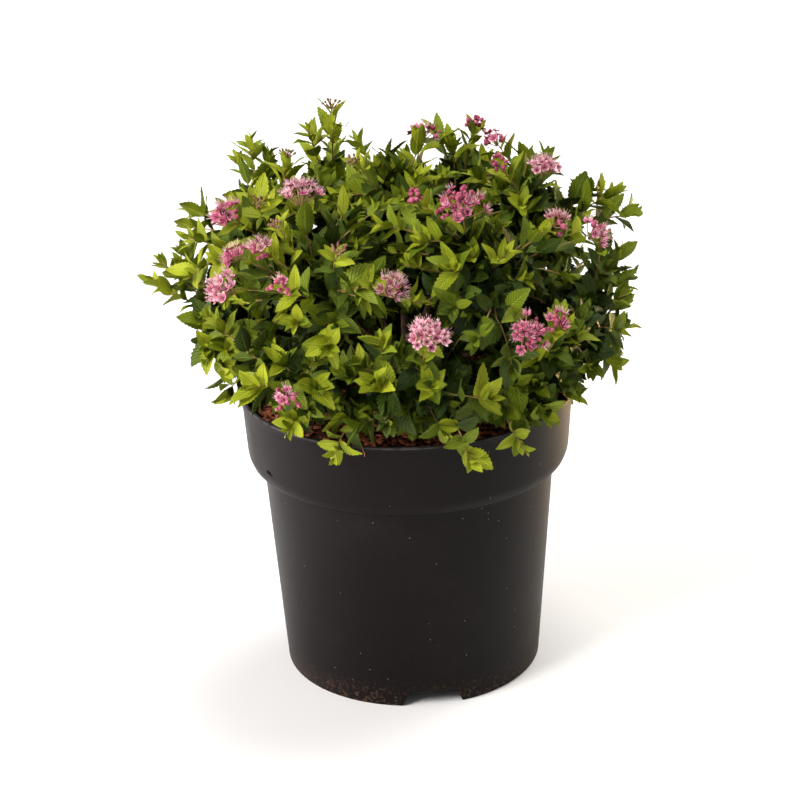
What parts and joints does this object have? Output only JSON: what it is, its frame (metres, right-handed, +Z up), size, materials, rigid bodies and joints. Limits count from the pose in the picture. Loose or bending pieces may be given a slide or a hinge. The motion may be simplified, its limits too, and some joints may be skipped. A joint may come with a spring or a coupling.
{
  "type": "potted spirea shrub",
  "caption": "Dense low spirea shrub in flower, with small toothed leaves and flat pink flower heads, in a round black nursery pot with a deep collar and open drainage notches.",
  "frame": {"origin": "centre of the pot's flat underside", "axes": "+Z up along the pot's axis, -Y towards the viewer of the picture, +X to the right"},
  "size_m": [0.3347, 0.3233, 0.3744],
  "materials": {
    "pot": "matte black recycled plastic, dusty",
    "soil": "reddish brown bark mulch",
    "bark": "thin brown bark",
    "foliage": "satin green leaves with pink blossom"
  },
  "bodies": {
    "root": {"pot": "pot", "soil": "soil", "stem": "bark", "bough_00": "bark", "bough_01": "bark", "bough_02": "bark", "bough_03": "bark", "bough_04": "bark", "bough_05": "bark", "bough_06": "bark", "bough_07": "bark", "bough_08": "bark", "bough_09": "bark", "bough_10": "bark", "bough_11": "bark", "bough_12": "bark", "bough_13": "bark", "bough_14": "bark", "foliage_00": "foliage", "foliage_01": "foliage", "foliage_02": "foliage", "foliage_03": "foliage", "foliage_04": "foliage", "foliage_05": "foliage", "foliage_06": "foliage", "foliage_07": "foliage", "foliage_08": "foliage", "foliage_09": "foliage", "foliage_10": "foliage", "foliage_11": "foliage", "foliage_12": "foliage", "foliage_13": "foliage", "foliage_14": "foliage"}
  },
  "joints": []
}
